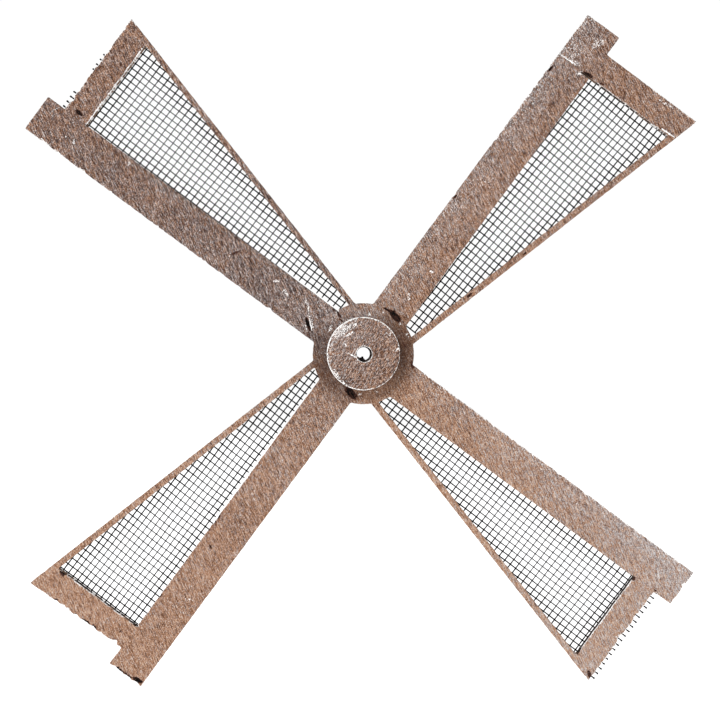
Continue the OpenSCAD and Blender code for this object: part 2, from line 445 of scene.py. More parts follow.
# Rows of points beside an arris: how far in and how far down, in arris radii.
ARRIS_ROWS = ((0.3, 0.286), (0.7, 0.046), (1.2, 0.0))
RIM_DROP = 0.8
BACK_ARRIS = 0.45
WALL_ROWS = 7
MARK_STEP = 0.75 * MM
MARK_RIM = 1.4


def sawn_outline(loop, cut, seed, bites):
    """A closed outline as a hand saw and sandpaper leave it, never outside the true one."""
    points = resampled(loop, cut.step)
    soft = (np.roll(points, 1, 0) + np.roll(points, -1, 0) + 2 * points) / 4
    wobble = 0.6 * fractal(points, 7 * MM, seed) + 0.4 * fractal(points, 1.8 * MM, seed + 5)
    shift = cut.ragged * np.clip(0.45 + wobble, 0, 1.4)
    for sail, u, v, radius, deep in bites:
        x, z = on_sail(sail, u, v)
        reach = np.hypot(points[:, 0] / MM - x, points[:, 1] / MM - z) / radius
        shift += deep * MM * np.clip(1 - reach ** 2, 0, 1)
    return soft + inward(soft) * shift[:, None]


def face_points(outlines, raw, tree, radii, rows, grid_step, marks):
    """The points of a slab's face: arris rows beside each outline, then a grid. Also their drops."""
    points, drops = [], []
    for outline, radius in zip(outlines, radii):
        normal = inward(outline)
        for reach, drop in rows:
            row = outline + normal * (radius * reach)[:, None]
            clear = distances(row, tree) > 0.85 * radius * reach
            points.append(row[clear])
            drops.append((radius * drop)[clear])
    widest = max(radius.max() for radius in radii)
    everything = np.concatenate(outlines)
    grid = hex_grid(everything.min(0), everything.max(0), grid_step)
    grid = grid + 0.12 * grid_step * np.c_[fractal(grid, grid_step, 3, 1), fractal(grid, grid_step, 9, 1)]
    near_mark = np.zeros(len(grid), bool)
    for x, z, direction, length, width, *_ in marks:
        mark = (x, z, direction, length * MARK_RIM, width * MARK_RIM)
        near_mark |= ellipse_reach(grid, *mark) < 1
        middle = np.array([x, z]) * MM
        half = MARK_RIM * length / 2 * MM
        fine = hex_grid(middle - half, middle + half, MARK_STEP)
        fine = fine[ellipse_reach(fine, *mark) < 1]
        fine = fine[inside(fine, raw)]
        fine = fine[distances(fine, tree) > 1.3 * widest]
        points.append(fine)
        drops.append(np.zeros(len(fine)))
    grid = grid[~near_mark]
    grid = grid[inside(grid, raw)]
    grid = grid[distances(grid, tree) > 0.6 * grid_step + widest]
    points.append(grid)
    drops.append(np.zeros(len(grid)))
    points, drops = np.concatenate(points), np.concatenate(drops)
    within = np.ones(len(points), bool)
    near = distances(points, tree) < 3 * MM
    within[near] = inside(points[near], outlines)
    return points[within], drops[within]


def triangulated(outlines, extra):
    """Triangles over the wood between outlines, through all points. Indices count outlines first."""
    rim = np.concatenate(outlines)
    points = np.concatenate([rim, extra])
    edges, base = [], 0
    for outline in outlines:
        count = len(outline)
        edges += [(base + n, base + (n + 1) % count) for n in range(count)]
        base += count
    coords, _, faces, origin, _, _ = delaunay_2d_cdt(
        [Vector(p) for p in points / MM], edges, [], 0, 1e-5, True
    )
    back = [ids[0] if ids else -1 for ids in origin]
    faces = np.array([[back[v] for v in face] for face in faces if len(face) == 3])
    faces = faces[(faces >= 0).all(1)]
    a, b, c = (points[faces[:, n]] for n in range(3))
    area = (b[:, 0] - a[:, 0]) * (c[:, 1] - a[:, 1]) - (b[:, 1] - a[:, 1]) * (c[:, 0] - a[:, 0])
    faces[area < 0] = faces[area < 0][:, ::-1]
    on_rim = (faces < len(rim)).any(1)
    kept = ~on_rim
    kept[on_rim] = inside(((a + b + c) / 3)[on_rim], outlines)
    return points, faces[kept & (np.abs(area) > SAME_PLACE ** 2)]


def slab_walls(outlines, y_front, y_back, back_rim, first, seed):
    """Vertices and faces of the sawn edges, where every second ply stands back a little.

    The front's rim has the first indices, the back's rim starts at back_rim and new points at first.
    """
    rim = np.concatenate(outlines)
    normals = np.concatenate([inward(outline) for outline in outlines])
    verts = []
    for row in range(WALL_ROWS):
        share = (row + 1) / (WALL_ROWS + 1)
        ply = 0.04 * MM * (row % 2) + 0.06 * MM * np.abs(fractal(rim, 3 * MM, seed + 20 + row, 2))
        across = rim + normals * ply[:, None]
        verts.append(np.c_[across[:, 0], y_front + (y_back - y_front) * share, across[:, 1]])
    count = np.arange(len(rim))
    levels = [count, *(first + row * len(rim) + count for row in range(WALL_ROWS))]
    levels.append(back_rim + count)
    faces, base = [], 0
    for outline in outlines:
        here = base + np.arange(len(outline))
        after = base + (np.arange(len(outline)) + 1) % len(outline)
        for near, far in zip(levels, levels[1:]):
            faces.append(np.c_[near[here], far[here], far[after], near[after]])
        base += len(outline)
    return np.concatenate(verts), np.concatenate(faces)


def wooden_slab(name, node, material, cut, seed, gouges, scratches, bites, looks):
    """A sawn board or disc that stands for a CAD slab, with worn arrises, gouges and ply edges."""
    low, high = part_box(node)
    raw = front_loops(node)
    outlines = [sawn_outline(loop, cut, seed, bites) for loop in raw]
    rim_count = sum(len(outline) for outline in outlines)
    tree = tree_of(np.concatenate(outlines))
    radii = [cut.arris * np.clip(1 + 0.8 * fractal(o, 9 * MM, seed + 2), 0.4, 1.9) for o in outlines]
    rim_drop = RIM_DROP * np.concatenate(radii)

    marks = [*gouges, *scratches]
    extra, drops = face_points(outlines, raw, tree, radii, ARRIS_ROWS, cut.face_step, marks)
    face, face_tris = triangulated(outlines, extra)
    depth, dark = pits(face, gouges)
    relief = 0.12 * MM * (1 + fractal(face, 16 * MM, seed + 7))
    sunk = relief * np.clip(distances(face, tree) / (3 * MM), 0, 1) + depth
    sunk[:rim_count] = 0
    front_verts = np.c_[face[:, 0], low.y + np.concatenate([rim_drop, drops]) + sunk, face[:, 1]]

    back_radii = [BACK_ARRIS * radius for radius in radii]
    extra, drops = face_points(outlines, raw, tree, back_radii, ARRIS_ROWS[1:], cut.back_step, ())
    rear, rear_tris = triangulated(outlines, extra)
    rear_verts = np.c_[rear[:, 0], high.y - np.concatenate([BACK_ARRIS * rim_drop, drops]), rear[:, 1]]

    first_wall = len(face) + len(rear)
    y_front, y_back = front_verts[:rim_count, 1], rear_verts[:rim_count, 1]
    wall_verts, wall_faces = slab_walls(outlines, y_front, y_back, len(face), first_wall, seed)
    verts = np.concatenate([front_verts, rear_verts, wall_verts])
    faces = [*face_tris, *(rear_tris[:, ::-1] + len(face)), *wall_faces]
    piece = new_piece(name, verts, faces, material, "rotor", (node,))

    plane = verts[:, [0, 2]]
    place = np.arange(len(verts))
    on_wall = place >= first_wall
    on_back = (place >= len(face)) & ~on_wall
    add_values(piece, "edge_mm", np.where(on_wall, 0, np.clip(distances(plane, tree) / MM, 0, 20)))
    add_values(piece, "wall", on_wall)
    add_values(piece, "rear", on_back)
    add_values(piece, "dark", np.concatenate([dark, np.zeros(len(verts) - len(face))]))
    add_values(piece, "white", rubbed(plane, scratches) * ~on_back)
    for field, values in looks(plane).items():
        add_values(piece, field, values)


# ---------------- tones of the stain and wash

# How light and how grey the wash is at each sail's hub end and outer end, and how flecked with white. The
# lightness is painted light: the upper sails darker and the lower ones paler, as if lit from below.
LIGHT_AT_HUB = (0.17, 0.54, 0.62, 0.51)
LIGHT_AT_END = (0.17, 0.36, 0.95, 0.72)
WASH_AT_HUB = (0.72, 0.24, 0.02, 0.34)
WASH_AT_END = (0.42, 0.46, 0.60, -0.06)
FLECKS_AT_HUB = (0.62, 0.45, 0.22, 0.34)
FLECKS_AT_END = (0.25, 0.50, 0.50, 0.42)

# Stretches of edge worn to the white primer: sail, from u, to u, from v, to v, wear.
WORN_EDGES_MM = [
    (UPPER_LEFT, 376, 392, 19, 130, 0.55),
    (UPPER_RIGHT, 240, 410, -26, -12, 0.55),
    (UPPER_RIGHT, 376, 392, 60, 130, 0.5),
    (LOWER_RIGHT, 60, 400, -26, -12, 0.6),
    (LOWER_RIGHT, 368, 400, -22, 130, 0.5),
    (LOWER_LEFT, 372, 386, 19, 120, 0.45),
    (LOWER_LEFT, 150, 352, 12, 22, 0.4),
    (UPPER_LEFT, 330, 410, -26, -12, 0.35),
]


def sail_places(plane):
    """Distance along and across each sail's spar, and how much each sail claims a point."""
    places = []
    for i in range(4):
        a = SAIL_TURN + math.pi / 2 * (1 - i)
        u = plane[:, 0] * math.cos(a) + plane[:, 1] * math.sin(a)
        v = plane[:, 0] * math.sin(a) - plane[:, 1] * math.cos(a)
        facing = (0.98 * u + 0.2 * v) / np.maximum(np.hypot(u, v), MM)
        places.append((u, v, np.clip(facing - 0.35, 0.001, 1) ** 3))
    return places


def board_looks(plane):
    """Lightness (with painted light from below), greyness and flecks of the wash, painted shade and dark
    stain around the disc, and painted light and shade on the end bars' walls.
    """
    x, z = plane.T
    reach = np.hypot(x, z)
    bearing = np.arctan2(z, x)
    light, wash, flecks, claims = np.zeros((4, len(plane)))
    for i, (u, v, claim) in enumerate(sail_places(plane)):
        out = np.clip(u / (400 * MM), 0, 1)
        on_window_side = np.clip((v - WINDOW_V) / (6 * MM), 0, 1)
        plain_side = np.clip(-v / (18 * MM), -0.6, 1)
        tone = LIGHT_AT_HUB[i] + (LIGHT_AT_END[i] - LIGHT_AT_HUB[i]) * out + 0.08 * on_window_side
        grey = WASH_AT_HUB[i] + (WASH_AT_END[i] - WASH_AT_HUB[i]) * out - 0.1 * on_window_side
        specks = FLECKS_AT_HUB[i] + (FLECKS_AT_END[i] - FLECKS_AT_HUB[i]) * out - 0.3 * on_window_side
        if i in (UPPER_RIGHT, LOWER_RIGHT):
            grey += 0.14 * plain_side
            specks += 0.32 * plain_side
        light += tone * claim
        wash += grey * claim
        flecks += specks * claim
        claims += claim
    light = light / claims + 0.08 * fractal(plane, 60 * MM, 41, 2)
    # The hub is made paler above the disc.
    over_hub = np.clip((HUB_REACH - reach) / (14 * MM), 0, 1)
    light += 0.36 * over_hub * np.clip(np.cos(bearing - math.radians(105)), 0, 1) ** 1.5
    wash = wash / claims + 0.16 * fractal(plane, 22 * MM, 45, 2)
    flecks = flecks / claims + 0.25 * fractal(plane, 30 * MM, 47, 2)
    # Painted shade and dark stain in a ring round the disc, fading out by 62 mm.
    ring = 0.37 + 0.235 * np.cos(2 * bearing) + 0.14 * np.sin(2 * bearing)
    ring += 0.05 * np.cos(bearing) - 0.1 * np.sin(bearing)
    fade = np.clip((62 * MM - reach) / (16 * MM), 0, 1)
    # Painted shade on the board deep inside the disc's hole.
    ring = np.where(reach < HOLE_R, 1, ring)
    painted_lit_wall, painted_shaded_wall, chipped = bar_edges(plane)
    return {
        "light": np.clip(light, 0, 1),
        "wash": np.clip(wash, 0, 1),
        "flecks": np.clip(flecks * (1 - 0.7 * ring * fade), 0, 1),
        "shade": np.clip(1.1 * ring, 0, 1) * fade,
        "wear": np.clip(np.maximum(board_wear(plane), chipped), 0, 1),
        "painted_lit_wall": painted_lit_wall,
        "painted_shaded_wall": painted_shaded_wall,
    }


# How much painted light (white) and painted shade (dark) each end bar's window edge gets, as light from
# below would fall on its wall, and how chipped it is.
BAR_EDGE_PAINTED_LIGHT = (0.46, 0.2, 0.0, 0.25)
BAR_EDGE_PAINTED_SHADE = (0.1, 0.5, 0.95, 0.52)
BAR_EDGE_CHIPPED = (0.6, 0.2, 0.5, 0.36)


def bar_inner():
    """Distance from the axle to each end bar's window edge, read from the window outlines."""
    windows = [loop for loop in front_loops("sail_cross") if 0.1 < np.hypot(*loop.mean(0)) < 0.35]
    reaches = []
    for i in range(4):
        out = np.array(on_sail(i, 1, 0))
        window = max(windows, key=lambda loop: loop.mean(0) @ out)
        reaches.append(float((window @ out).max()))
    return reaches


BAR_INNER = bar_inner()


def bar_edges(plane):
    """Painted light (white), painted shade (dark) and chipping along the end bars' window edges, and 0
    elsewhere.
    """
    white, dark, chipped = np.zeros((3, len(plane)))
    ragged = 0.9 * fractal(plane, 2 * MM, 69, 2)
    patches = 0.5 * fractal(plane, 9 * MM, 73, 2)
    for i, (u, v, _) in enumerate(sail_places(plane)):
        rail = HEM_SLOPE * BAR_INNER[i] + HEM_START
        beside = (np.abs(u - BAR_INNER[i]) < 4 * MM) & (v > WINDOW_V) & (v < rail - 1 * MM)
        white[beside] = (BAR_EDGE_PAINTED_LIGHT[i] + ragged)[beside]
        dark[beside] = (BAR_EDGE_PAINTED_SHADE[i] + patches)[beside]
        chipped[beside] = (BAR_EDGE_CHIPPED[i] + patches)[beside]
        if i == UPPER_RIGHT:
            # More painted light at the far end of the upper right sail's bar edge.
            white[beside & (v > 94 * MM)] += 0.3
    return np.clip(white, 0, 1), np.clip(dark, 0, 1), np.clip(chipped, 0, 1)


def board_wear(plane):
    """How far the edges are worn through to the white primer."""
    wear = 0.12 + 0.12 * fractal(plane, 30 * MM, 61, 2)
    places = sail_places(plane)
    for sail, u0, u1, v0, v1, worn in WORN_EDGES_MM:
        u, v, _ = places[sail]
        zone = (u > u0 * MM) & (u < u1 * MM) & (v > v0 * MM) & (v < v1 * MM)
        wear[zone] = worn + 0.2 * fractal(plane[zone], 18 * MM, 65, 2)
    return wear


def disc_looks(plane):
    """The disc's own wash: dusty towards its upper left, and worn white round its rim."""
    x, z = plane.T
    bearing = np.arctan2(z, x)
    reach = np.hypot(x, z)
    dusty = np.cos(bearing - math.radians(150)) * reach / DISC_R
    light = 0.36 + 0.05 * np.cos(bearing - math.radians(120)) + 0.06 * fractal(plane, 20 * MM, 43, 2)
    at_rim = np.clip((reach / DISC_R - 0.78) / 0.2, 0, 1)
    flecks = 0.35 + 0.3 * dusty + 0.3 * at_rim * np.clip(dusty, 0, 1) + 0.2 * fractal(plane, 9 * MM, 49, 2)
    wear = 0.62 + 0.25 * dusty + 0.25 * fractal(plane, 10 * MM, 63, 2)
    return {
        "light": light,
        "wash": np.clip(0.44 + 0.12 * dusty, 0, 1),
        "flecks": np.clip(flecks, 0, 1),
        "shade": np.zeros(len(plane)),
        "wear": np.where(reach > 0.5 * DISC_R, np.clip(wear, 0.3, 1), 0.5),
    }


# ---------------- wire, staples and turned parts

WIRE_SIDES = 7
WELD_SWELL = 0.2
WELD_REACH = 0.9 * MM
BEAD_REACH = 2.2 * MM
BEAD_SWELL = 0.5
STAIN_SWELL = 0.34
LONGEST_WIRE_STEP = 6 * MM
SHORTEST_WIRE_STEP = 0.3 * MM
# How much painted glare pales each sail's wire in the middle of its windows.
WIRE_GLARE_BY_SAIL = (1.0, 0.5, 1.0, 0.6)


def tangents(path):
    """Unit vectors along a path at each of its points."""
    along = np.gradient(path, axis=0)
    return along / np.linalg.norm(along, axis=1)[:, None]


def frames_along(path):
    """Two unit vectors across a path at each of its points."""
    tangent = tangents(path)
    across = np.cross(tangent, [0.0, 1.0, 0.0])
    across /= np.linalg.norm(across, axis=1)[:, None]
    return across, np.cross(across, tangent)


def ring_walls(rings, sides, outward=True, closed=False):
    """Quads between neighbouring rings of vertices. Closed rings join the last to the first."""
    faces = []
    for ring in range(rings if closed else rings - 1):
        here, there = ring * sides, (ring + 1) % rings * sides
        for n in range(sides):
            after = (n + 1) % sides
            quad = (here + n, here + after, there + after, there + n)
            faces.append(quad if outward else (quad[0], quad[3], quad[2], quad[1]))
    return faces


def ring_ends(rings, sides, outward=True):
    """The two faces that close a row of rings."""
    first, last = tuple(range(sides)), tuple(range((rings - 1) * sides, rings * sides))
    return [first[::-1], last] if outward else [first, last[::-1]]


def tube(path, radii, turn):
    """Vertices and faces of a closed tube along a path with a radius at each point."""
    across, up = frames_along(path)
    angles = turn + 2 * math.pi * np.arange(WIRE_SIDES) / WIRE_SIDES
    spokes = np.cos(angles)[None, :, None] * across[:, None] + np.sin(angles)[None, :, None] * up[:, None]
    verts = (path[:, None] + radii[:, None, None] * spokes).reshape(-1, 3)
    return verts, ring_walls(len(path), WIRE_SIDES) + ring_ends(len(path), WIRE_SIDES)


def joined(parts):
    """One list of vertices and faces from several."""
    verts, faces, base = [], [], 0
    for part_verts, part_faces in parts:
        verts.append(part_verts)
        faces += [tuple(v + base for v in face) for face in part_faces]
        base += len(part_verts)
    return np.concatenate(verts), faces


def mesh_warp(points):
    """The slight waves of hand-cut wire mesh, the same for both of its layers."""
    plane = points[:, [0, 2]]
    warped = points.copy()
    warped[:, 0] += 0.45 * MM * fractal(plane, 42 * MM, 71, 2)
    warped[:, 2] += 0.45 * MM * fractal(plane, 42 * MM, 75, 2)
    warped[:, 1] += 0.10 * MM * (1 + fractal(plane, 30 * MM, 79, 2))
    return warped


def crossings(start, end, others):
    """Distances along a wire at which the wires of the other layer cross it."""
    a, b = start[[0, 2]], end[[0, 2]]
    along = (b - a) / np.hypot(*(b - a))
    found = []
    for first, last, _ in others:
        c, d = first[[0, 2]], last[[0, 2]]
        side = d - c
        turn = along[0] * side[1] - along[1] * side[0]
        s = ((c[0] - a[0]) * side[1] - (c[1] - a[1]) * side[0]) / turn
        t = ((c[0] - a[0]) * along[1] - (c[1] - a[1]) * along[0]) / turn
        if 0 < s < np.hypot(*(b - a)) and 0 <= t <= 1:
            found.append(s)
    return sorted(found)


OUTLINE_TREE = tree_of(np.concatenate([resampled(loop, 3 * MM) for loop in front_loops("sail_cross")]))


def frame_light(verts):
    """0 where wire lies near the stained wood and 1 in the middle of a window; this also sets how much
    painted glare pales the wire.
    """
    near = distances(verts[:, [0, 2]], OUTLINE_TREE)
    return np.clip((near - 4 * MM) / (15 * MM), 0, 1)


def welded_wire(start, end, radius, others, seed, is_tail):
    """One wire with swollen welds where the other layer crosses it and nipped ends."""
    length = np.linalg.norm(end - start)
    along = (end - start) / length
    welds = np.array(crossings(start, end, others))
    bead = length - BEAD_REACH
    places = {0.0, length, bead, length - 0.5 * BEAD_REACH, length - SHORTEST_WIRE_STEP}
    places |= set(np.arange(LONGEST_WIRE_STEP / 2, bead, LONGEST_WIRE_STEP))
    for weld in welds:
        places |= {weld, weld - WELD_REACH, weld + WELD_REACH}
    places = np.array(sorted(p for p in places if 0 <= p <= length))
    places = places[np.concatenate([[True], np.diff(places) > SHORTEST_WIRE_STEP])]
    swell = np.zeros(len(places))
    for weld in welds:
        swell = np.maximum(swell, np.exp(-((places - weld) / (0.7 * MM)) ** 2))
    path = start + places[:, None] * along
    stained = 1 - frame_light(path)
    beaded = np.clip((places - bead) / (0.6 * MM), 0, 1) * is_tail
    radii = radius * (1.06 + STAIN_SWELL * stained + WELD_SWELL * swell + BEAD_SWELL * beaded)
    radii[[0, -1]] *= 0.8
    rng = np.random.default_rng(seed)
    path[-1] += rng.normal(0, 0.18 * MM, 3) * [1, 0, 1]
    return tube(mesh_warp(path), radii, rng.uniform(0, 1))


def wire_layer(node, other_node, material):
    """One layer of a mesh panel, welded where the panel's other layer crosses it."""
    rods = [rod_ends(points) for points in islands(node)]
    others = [rod_ends(points) for points in islands(other_node)]
    seed = sum(ord(letter) for letter in node)
    parts = []
    for n, (start, end, radius) in enumerate(rods):
        if start @ start > end @ end:
            start, end = end, start
        parts.append(welded_wire(start, end, radius, others, seed + n, node.endswith("_line_wires")))
    verts, faces = joined(parts)
    piece = new_piece(f"{node}_welded", verts, faces, material, "rotor", (node,))
    sail = SAILS.index(node.rsplit("_", 2)[0])
    # Painted glare: the wire is paler towards the middle of each window.
    add_values(piece, "light", WIRE_GLARE_BY_SAIL[sail] * frame_light(verts))


STAPLE_BEND = 0.9 * MM
STAPLE_THICK = 0.3 * MM
BEND_STEPS = 4

# The corners of a staple wire's section, in half widths and half thicknesses.
STAPLE_SECTION = [
    (1, 0.45), (0.75, 1), (-0.75, 1), (-1, 0.45), (-1, -0.45), (-0.75, -1), (0.75, -1), (1, -0.45),
]


def staple_path(points):
    """The middle line of one staple: up a leg, round a bend, along the crown and down again."""
    low, high = points.min(0), points.max(0)
    plane = points[:, [0, 2]]
    middle = plane.mean(0)
    axis = np.linalg.svd(plane - middle)[2][0]
    reach = np.abs((plane - middle) @ axis).max()
    wide = np.abs((plane - middle) @ np.array([-axis[1], axis[0]])).max()
    leg, crown = STAPLE_THICK - reach, high[1] - STAPLE_THICK
    path = [(leg, low[1])]
    for a in np.linspace(0, math.pi / 2, BEND_STEPS + 1):
        path.append((leg + STAPLE_BEND * (1 - math.cos(a)), crown - STAPLE_BEND * (1 - math.sin(a))))
    path += [(-along, y) for along, y in reversed(path)]
    line = np.array([[middle[0] + s * axis[0], y, middle[1] + s * axis[1]] for s, y in path])
    return line, np.array([-axis[1], 0, axis[0]]), wide


def ribbon(line, binormal, half_width):
    """A flat wire with rounded edges swept along a line."""
    verts = []
    for place, normal in zip(line, np.cross(binormal, tangents(line))):
        verts += [place + a * half_width * binormal + b * STAPLE_THICK * normal for a, b in STAPLE_SECTION]
    sides = len(STAPLE_SECTION)
    return np.array(verts), ring_walls(len(line), sides) + ring_ends(len(line), sides)


def staples(sail, material):
    """A sail's staples, bent from flat wire."""
    node = f"{sail}_staples"
    verts, faces = joined([ribbon(*staple_path(points)) for points in islands(node)])
    new_piece(f"{node}_bent", verts, faces, material, "rotor", (node,))


def turned(profile, centre, sides):
    """A solid turned about the Y direction from (radius, y) points of a closed profile."""
    angles = 2 * math.pi * np.arange(sides) / sides
    verts = []
    for radius, y in profile:
        verts += [(centre[0] + radius * math.cos(a), y, centre[1] + radius * math.sin(a)) for a in angles]
    return np.array(verts), ring_walls(len(profile), sides, outward=False, closed=True)


def eased(profile, size):
    """A closed profile with its corners cut back, as a lathe tool eases them."""
    points = np.array(profile)
    cut = []
    for before, here, after in zip(np.roll(points, 1, 0), points, np.roll(points, -1, 0)):
        for other in (before, after):
            step = other - here
            cut.append(here + step * min(0.45, size / np.hypot(*step)))
    return cut


def axle_sleeve(material):
    """The flanged sleeve, with eased corners and a groove under its flange."""
    places, _ = merged("axle_sleeve")
    radii = np.hypot(places[:, 0], places[:, 2])
    bore, flange = radii.min(), radii.max()
    low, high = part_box("axle_sleeve")
    front, seat = low.y, high.y
    tube_r = radii[np.abs(places[:, 1] - front) < SAME_PLACE].max()
    shoulder = places[radii > 0.99 * flange][:, 1].min()
    groove = 0.25 * MM
    profile = [
        (bore, seat), (bore, front), (tube_r, front), (tube_r, shoulder - 1.2 * MM),
        (tube_r - groove, shoulder - 0.9 * MM), (tube_r - groove, shoulder),
        (flange - 1.5 * MM, shoulder), (flange, shoulder + 0.6 * MM), (flange, seat),
    ]
    verts, faces = turned(eased(profile, 0.25 * MM), (0, 0), 96)
    new_piece(
        "axle_sleeve_turned", verts, faces, material,
        "sleeve", ("axle_sleeve",), smooth=False,
    )


# How far the torn splinter in the disc's hole reaches in: bearing in degrees, distance from the axle.
SPLINTER_EDGE_MM = [
    (203, 7.2), (212, 5.7), (226, 5.4), (237, 4.4), (244, 2.4), (254, 3.3),
    (262, 1.9), (272, 4.0), (281, 5.2), (288, 6.6), (297, 8.0),
]
SPLINTER_WALL = 8.4 * MM


def hole_splinter(material):
    """The torn lip of wood across the lower left of the disc's hole."""
    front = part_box("hub_disc")[0].y + 0.3 * MM
    bearings, reaches = np.array(SPLINTER_EDGE_MM).T
    turns = np.arange(bearings[0], bearings[-1] + 1, 3.0)
    inner = np.interp(turns, bearings, reaches) * MM
    inner += 0.35 * MM * fractal(np.c_[turns, turns] * MM, 4 * MM, 97, 2)
    inner = np.minimum(inner, SPLINTER_WALL - 0.3 * MM)
    lift = 0.4 * MM * fractal(np.c_[turns, -turns] * MM, 6 * MM, 99, 2)
    verts = []
    for turn, tip, rise in zip(np.radians(turns), inner, lift):
        middle = (tip + SPLINTER_WALL) / 2
        section = [
            (SPLINTER_WALL, front + 0.4 * MM), (middle, front + 0.5 * MM + 0.3 * rise),
            (tip, front + 1.4 * MM + rise), (tip + 0.1 * MM, front + 2.2 * MM + rise),
            (middle, front + 3.4 * MM), (SPLINTER_WALL, front + 4.2 * MM),
        ]
        verts += [(r * math.cos(turn), y, r * math.sin(turn)) for r, y in section]
    rings, sides = len(turns), len(section)
    faces = ring_ends(rings, sides, outward=False) + ring_walls(rings, sides, outward=False)
    piece = new_piece("hole_splinter_torn", verts, faces, material, "rotor", (), smooth=False)
    # The splinter's darkness: the torn wood's own dark and painted shade deep in the hole.
    torn = np.interp(turns, [210, 228, 284, 296], [0, 1.15, 1.15, 0.3])
    add_values(piece, "dark", np.repeat(torn, sides))
    add_values(piece, "light", np.full(len(verts), 0.3))
    add_values(piece, "edge_mm", np.full(len(verts), 20.0))


def brads(material):
    """The brads that pin the disc, with domed heads and tapered tips."""
    parts = []
    for points in islands("hub_disc_brads"):
        low, high = points.min(0), points.max(0)
        middle = (low + high) / 2
        reach = np.hypot(points[:, 0] - middle[0], points[:, 2] - middle[2])
        head, shank = reach.max(), reach[np.abs(points[:, 1] - high[1]) < SAME_PLACE].max()
        front, tip = low[1], high[1]
        collar = front + 0.8 * MM
        profile = [
            (0.02 * MM, front + 0.12 * MM), (0.45 * head, front), (0.85 * head, front + 0.06 * MM),
            (head, front + 0.3 * MM), (0.9 * head, collar - 0.15 * MM), (shank, collar),
            (shank, tip - 1.6 * MM), (0.02 * MM, tip),
        ]
        parts.append(turned(profile, (middle[0], middle[2]), 24))
    verts, faces = joined(parts)
    name = "hub_disc_brads"
    new_piece(f"{name}_driven", verts, faces, material, "rotor", (name,))


# ---------------- materials

def srgb(red, green, blue):
    """A colour given as 0 to 255 display values, in the shader's linear values."""
    def linear(value):
        value /= 255
        return value / 12.92 if value <= 0.04045 else ((value + 0.055) / 1.055) ** 2.4
    return (linear(red), linear(green), linear(blue), 1.0)


class Shader:
    """A material's node tree, with short calls for the nodes that these materials share."""

    def __init__(self, name, roughness, metallic=0.0, specular=0.1):
        self.material = bpy.data.materials.new(name)
        self.material.use_nodes = True
        self.tree = self.material.node_tree
        self.surface = self.tree.nodes["Principled BSDF"].inputs
        self.surface["Roughness"].default_value = roughness
        self.surface["Metallic"].default_value = metallic
        self.surface["Specular IOR Level"].default_value = specular
        self.place = self.node("ShaderNodeTexCoord").outputs["Object"]

    def link(self, source, socket):
        """Feeds a socket from another node's output, or sets it to a value."""
        if isinstance(source, bpy.types.NodeSocket):
            self.tree.links.new(source, socket)
        else:
            socket.default_value = source

    def node(self, kind, inputs=None, **settings):
        made = self.tree.nodes.new(kind)
        for key, value in settings.items():
            setattr(made, key, value)
        for socket, source in (inputs or {}).items():
            self.link(source, made.inputs[socket])
        return made

    def value(self, name):
        """A value that the mesh carries at its points."""
        return self.node("ShaderNodeAttribute", attribute_name=name).outputs["Fac"]

    def math(self, operation, first, second, clamp=False):
        inputs = {0: first, 1: second}
        return self.node("ShaderNodeMath", inputs, operation=operation, use_clamp=clamp).outputs[0]

    def plus(self, first, second):
        return self.math("ADD", first, second)

    def minus(self, first, second, clamp=False):
        return self.math("SUBTRACT", first, second, clamp)

    def times(self, first, second, clamp=False):
        return self.math("MULTIPLY", first, second, clamp)

    def scaled(self, noise_value, gain, middle=0.0):
        """A noise's swing about its middle value of a half, made larger or smaller."""
        return self.plus(self.times(noise_value, gain), middle - gain / 2)

    def turned_to(self, direction):
        """The place with its first axis along a direction in the sails' plane."""
        inputs = {"Vector": self.place, "Angle": direction}
        return self.node("ShaderNodeVectorRotate", inputs, rotation_type="Y_AXIS").outputs["Vector"]

    def grain(self, vector, along, across, detail, roughness, shift=0.0):
        """Noise stretched to features of the given length and width, in metres."""
        scale = (1 / along, 1 / across, 1 / across)
        inputs = {"Vector": vector, "Scale": scale, "Location": (shift, shift, shift)}
        vector = self.node("ShaderNodeMapping", inputs).outputs["Vector"]
        inputs = {"Vector": vector, "Scale": 1.0, "Detail": detail, "Roughness": roughness}
        return self.node("ShaderNodeTexNoise", inputs).outputs["Fac"]

    def step(self, value, low, high):
        """0 below low, 1 above high and a smooth rise between them."""
        inputs = {"Value": value, "From Min": low, "From Max": high}
        return self.node("ShaderNodeMapRange", inputs, interpolation_type="SMOOTHSTEP").outputs["Result"]

    def mix(self, factor, first, second):
        node = self.node("ShaderNodeMix", {"Factor": factor}, data_type="RGBA", clamp_factor=True)
        colours = [socket for socket in node.inputs if socket.type == "RGBA"]
        self.link(first, colours[0])
        self.link(second, colours[1])
        return next(socket for socket in node.outputs if socket.type == "RGBA")

    def ramp(self, factor, stops):
        """A colour ramp through stops of position and colour."""
        node = self.node("ShaderNodeValToRGB", {"Fac": factor})
        elements = node.color_ramp.elements
        while len(elements) < len(stops):
            elements.new(0.5)
        for element, (position, colour) in zip(elements, stops):
            element.position = position
            element.color = colour
        return node.outputs["Color"]

    def bump(self, height, distance, strength):
        inputs = {"Height": height, "Distance": distance, "Strength": strength}
        self.link(self.node("ShaderNodeBump", inputs).outputs["Normal"], self.surface["Normal"])

    def colour(self, source):
        self.link(source, self.surface["Base Color"])

    def roughness(self, source):
        self.link(source, self.surface["Roughness"])


# The studio light shows a surface brighter than its own colour, by one over this.
LIT = 0.74


def shown(red, green, blue):
    """The surface colour that the studio light shows as the given display values."""
    r, g, b, _ = srgb(red, green, blue)
    return (r * LIT, g * LIT, b * LIT, 1.0)


